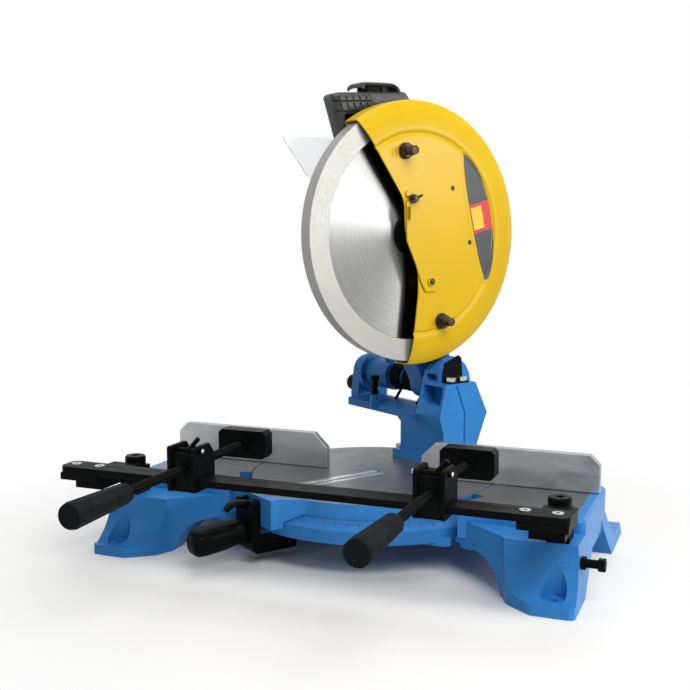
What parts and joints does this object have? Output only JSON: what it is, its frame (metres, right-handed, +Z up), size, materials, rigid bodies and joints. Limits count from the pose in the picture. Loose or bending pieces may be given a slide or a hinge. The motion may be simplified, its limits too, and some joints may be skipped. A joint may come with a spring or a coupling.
{
  "type": "mitre saw",
  "caption": "Dry-cut mitre saw for metal tube: cast base, swinging turntable, sprung saw head with guards, and screw clamps on a cross bar.",
  "frame": {"origin": "middle of the four bench bolt holes, on the floor", "axes": "+X right along the fence, +Y to the back, +Z up"},
  "size_m": [0.718, 0.814, 0.678],
  "materials": {
    "blue_casting": "gloss enamel on a casting",
    "yellow_guard": "gloss enamel on pressed steel",
    "black_steel": "black finish on steel",
    "black_plastic": "moulded, fine grain",
    "rubber_grip": "moulded rubber",
    "bare_steel": "turned or zinc plated",
    "machined_table": "machined face",
    "blade_steel": "ground in rings",
    "guard_alloy": "bare pressed sheet",
    "clear_plate": "clear moulded plate",
    "copper_iron": "laminated core"
  },
  "bodies": {
    "base": {"base_casting": "blue_casting", "fence_left": "machined_table", "fence_right": "machined_table", "fence_bolts": "bare_steel", "turntable_bolt": "bare_steel", "rail_arm_left": "black_steel", "rail_arm_right": "black_steel", "clamp_bar": "black_steel", "bar_screws": "bare_steel"},
    "rail_knob_left": {"rail_knob_left": "black_plastic"},
    "rail_knob_right": {"rail_knob_right": "black_plastic"},
    "side_stop_screw": {"side_stop_screw": "black_steel"},
    "turntable": {"turntable": "machined_table", "kerf_plates": "bare_steel", "hinge_post": "blue_casting", "post_bolts": "bare_steel", "hinge_pin": "bare_steel", "chip_plate": "black_steel", "plate_bolts": "bare_steel", "stop_bolt": "bare_steel", "handle_bracket": "black_plastic", "return_spring": "black_steel"},
    "mitre_grip": {"mitre_grip": "rubber_grip"},
    "detent_lever": {"detent_lever": "black_steel"},
    "lock_knob": {"lock_knob": "black_plastic"},
    "head": {"head_arm": "blue_casting", "gear_cover": "blue_casting", "motor_housing": "black_plastic", "motor_cap": "black_plastic", "stator": "copper_iron", "upper_guard": "yellow_guard", "guard_bolts": "black_steel", "handle_left": "black_plastic", "handle_right": "black_plastic", "switch_cover": "black_plastic", "chip_shield": "clear_plate", "bearings": "bare_steel", "brush_caps": "black_plastic", "cord_gland": "black_plastic"},
    "trigger": {"trigger": "black_plastic"},
    "arbor_cover": {"arbor_cover": "yellow_guard"},
    "wing_bolt": {"wing_bolt": "bare_steel"},
    "lower_guard": {"lower_guard": "guard_alloy"},
    "spindle": {"blade": "blade_steel", "blade_flanges": "bare_steel", "arbor_bolt": "bare_steel", "spindle": "bare_steel", "output_gear": "bare_steel"},
    "armature": {"armature": "copper_iron", "fan": "black_plastic"},
    "clamp_bracket_left": {"clamp_bracket_left": "black_steel"},
    "clamp_lever_left": {"clamp_lever_left": "bare_steel"},
    "clamp_pad_left": {"clamp_pad_left": "black_plastic"},
    "clamp_rod_left": {"clamp_rod_left": "black_steel", "clamp_grip_left": "rubber_grip"},
    "clamp_bracket_right": {"clamp_bracket_right": "black_steel"},
    "clamp_lever_right": {"clamp_lever_right": "bare_steel"},
    "clamp_pad_right": {"clamp_pad_right": "black_plastic"},
    "clamp_rod_right": {"clamp_rod_right": "black_steel", "clamp_grip_right": "rubber_grip"}
  },
  "joints": [
    {"name": "mitre_turn", "type": "hinge", "parent": "base", "child": "turntable", "pos_m": [0, 0.04, 0.06], "axis": [0, 0, 1], "range_deg": [-12.27, 77.73]},
    {"name": "head_chop", "type": "hinge", "parent": "turntable", "child": "head", "pos_m": [-0.00302, 0.22025, 0.216], "axis": [0.8412, -0.5407, 0], "range_deg": [0, 62.5], "stiffness_Nm_per_rad": 19, "springref_deg": -53.29, "deforming": ["return_spring"]},
    {"name": "lower_guard_swing", "type": "hinge", "parent": "head", "child": "lower_guard", "pos_m": [0.03831, 0.09961, 0.4537], "axis": [0.8412, -0.5407, 0], "range_deg": [-150, 0]},
    {"name": "blade_spin", "type": "hinge", "parent": "head", "child": "spindle", "pos_m": [0.02149, 0.11042, 0.4537], "axis": [0.8412, -0.5407, 0], "continuous": true},
    {"name": "armature_spin", "type": "hinge", "parent": "head", "child": "armature", "pos_m": [-0.04938, 0.2221, 0.48328], "axis": [0.8412, -0.5407, 0], "continuous": true},
    {"name": "trigger_pull", "type": "hinge", "parent": "head", "child": "trigger", "pos_m": [-0.03306, 0.07178, 0.6377], "axis": [0.8412, -0.5407, 0], "range_deg": [-8, 0], "stiffness_Nm_per_rad": 0.5, "springref_deg": 5.73},
    {"name": "arbor_cover_swing", "type": "hinge", "parent": "head", "child": "arbor_cover", "pos_m": [0.06878, 0.10262, 0.3827], "axis": [0.8412, -0.5407, 0], "range_deg": [-75, 0]},
    {"name": "wing_bolt_turn", "type": "hinge", "parent": "head", "child": "wing_bolt", "pos_m": [0.05214, 0.06933, 0.5057], "axis": [0.8412, -0.5407, 0], "continuous": true},
    {"name": "lock_pin_slide", "type": "slide", "parent": "turntable", "child": "lock_knob", "axis": [0.8412, -0.5407, 0], "range_m": [0, 0.012]},
    {"name": "mitre_grip_turn", "type": "hinge", "parent": "turntable", "child": "mitre_grip", "pos_m": [-0.12111, -0.14844, 0.046], "axis": [-0.5392, -0.839, -0.0732], "continuous": true},
    {"name": "detent_lift", "type": "hinge", "parent": "turntable", "child": "detent_lever", "pos_m": [-0.11733, -0.14255, 0.0845], "axis": [0.8412, -0.5407, 0], "range_deg": [0, 5], "stiffness_Nm_per_rad": 1.5, "springref_deg": -6.88},
    {"name": "rail_knob_left_turn", "type": "hinge", "parent": "base", "child": "rail_knob_left", "pos_m": [-0.3096, -0.1275, 0.12], "axis": [0, 0, 1], "continuous": true},
    {"name": "rail_knob_right_turn", "type": "hinge", "parent": "base", "child": "rail_knob_right", "pos_m": [0.3096, -0.1275, 0.12], "axis": [0, 0, 1], "continuous": true},
    {"name": "side_screw_turn", "type": "hinge", "parent": "base", "child": "side_stop_screw", "pos_m": [0.345, -0.137, 0.054], "axis": [1, 0, 0], "continuous": true},
    {"name": "clamp_left_slide", "type": "slide", "parent": "base", "child": "clamp_bracket_left", "axis": [1, 0, 0], "range_m": [-0.105, 0.095]},
    {"name": "clamp_left_lever", "type": "hinge", "parent": "clamp_bracket_left", "child": "clamp_lever_left", "pos_m": [-0.149, -0.252, 0.1785], "axis": [1, 0, 0], "range_deg": [-25, 0]},
    {"name": "clamp_left_push", "type": "slide", "parent": "clamp_bracket_left", "child": "clamp_pad_left", "axis": [0, 1, 0], "range_m": [-0.1, 0.11]},
    {"name": "clamp_left_turn", "type": "hinge", "parent": "clamp_pad_left", "child": "clamp_rod_left", "pos_m": [-0.149, -0.2, 0.156], "axis": [0, 1, 0], "continuous": true},
    {"name": "clamp_right_slide", "type": "slide", "parent": "base", "child": "clamp_bracket_right", "axis": [1, 0, 0], "range_m": [-0.095, 0.075]},
    {"name": "clamp_right_lever", "type": "hinge", "parent": "clamp_bracket_right", "child": "clamp_lever_right", "pos_m": [0.1823, -0.252, 0.1785], "axis": [1, 0, 0], "range_deg": [-25, 0]},
    {"name": "clamp_right_push", "type": "slide", "parent": "clamp_bracket_right", "child": "clamp_pad_right", "axis": [0, 1, 0], "range_m": [-0.1, 0.11]},
    {"name": "clamp_right_turn", "type": "hinge", "parent": "clamp_pad_right", "child": "clamp_rod_right", "pos_m": [0.1823, -0.2, 0.156], "axis": [0, 1, 0], "continuous": true}
  ],
  "couplings": [
    {"joint": "lower_guard_swing", "follows": "head_chop", "ratio": -2.3},
    {"joint": "armature_spin", "follows": "blade_spin", "ratio": -6}
  ]
}
